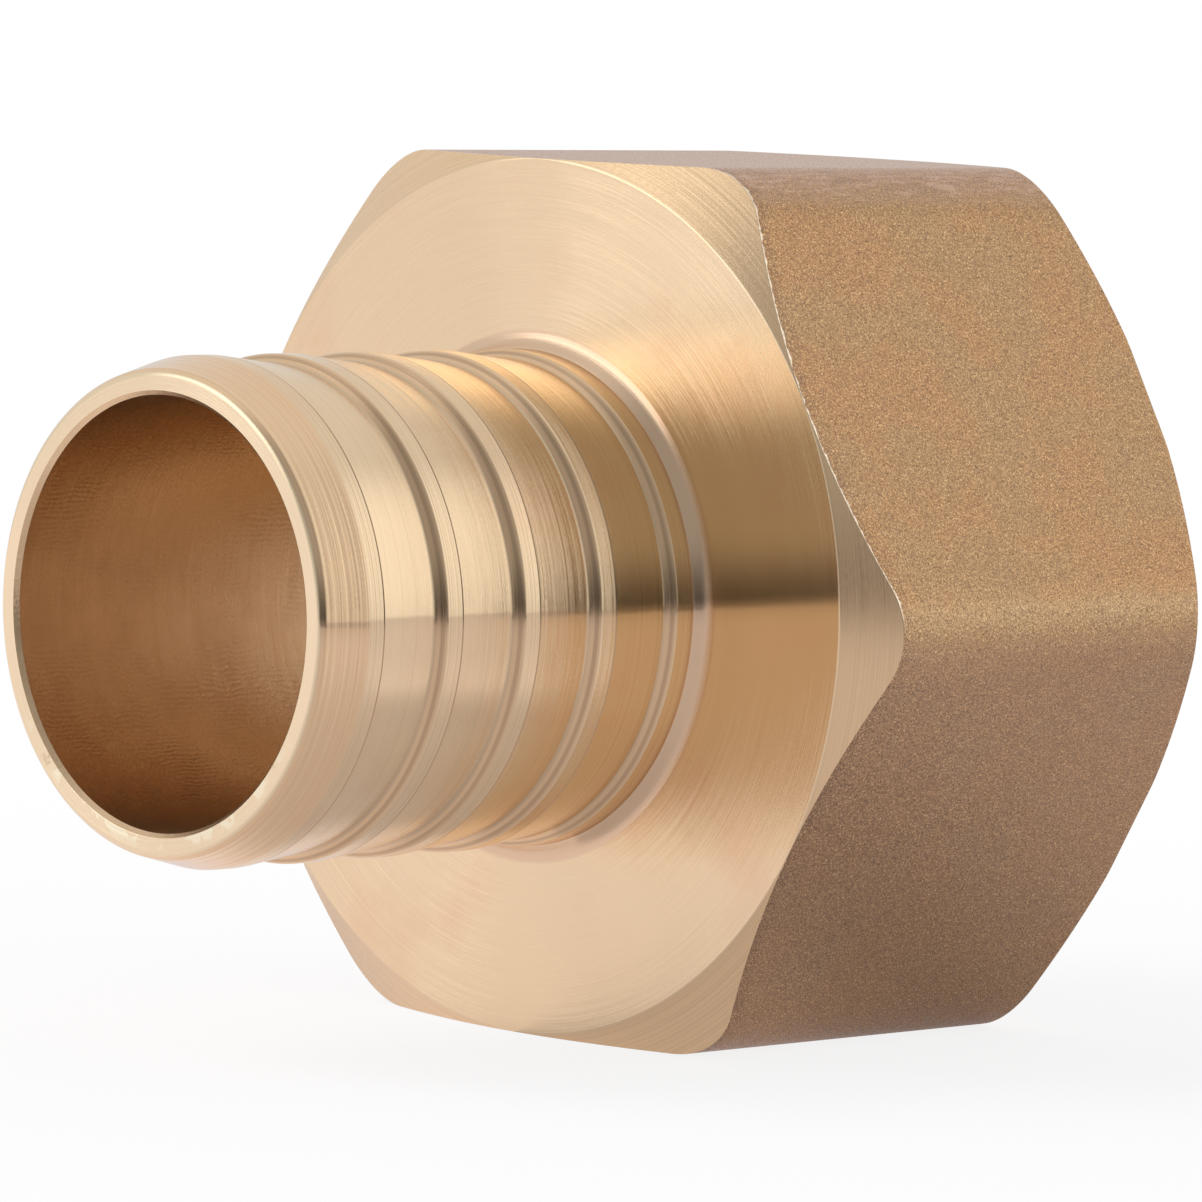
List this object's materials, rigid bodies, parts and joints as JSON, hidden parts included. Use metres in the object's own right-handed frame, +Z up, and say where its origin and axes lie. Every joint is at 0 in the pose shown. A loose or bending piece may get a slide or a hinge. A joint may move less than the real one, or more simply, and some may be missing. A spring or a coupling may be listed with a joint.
{
  "type": "pex crimp fitting",
  "caption": "Brass adapter with a ribbed crimp insert for PEX tube at one end and a hexagon with a female tapered pipe thread at the other.",
  "frame": {"origin": "on the fitting's axis, in the plane of the shoulder that stops the tube", "axes": "+X along the axis out of the threaded socket, -X out of the crimp insert; +Z up, square to the hexagon flat that the fitting rests on"},
  "size_m": [0.043, 0.0432, 0.0384],
  "materials": {
    "brass": "satin turned ends, bore and insert; blasted forging skin on the hexagon's flats"
  },
  "bodies": {
    "root": {"adapter_body": "brass"}
  },
  "joints": []
}
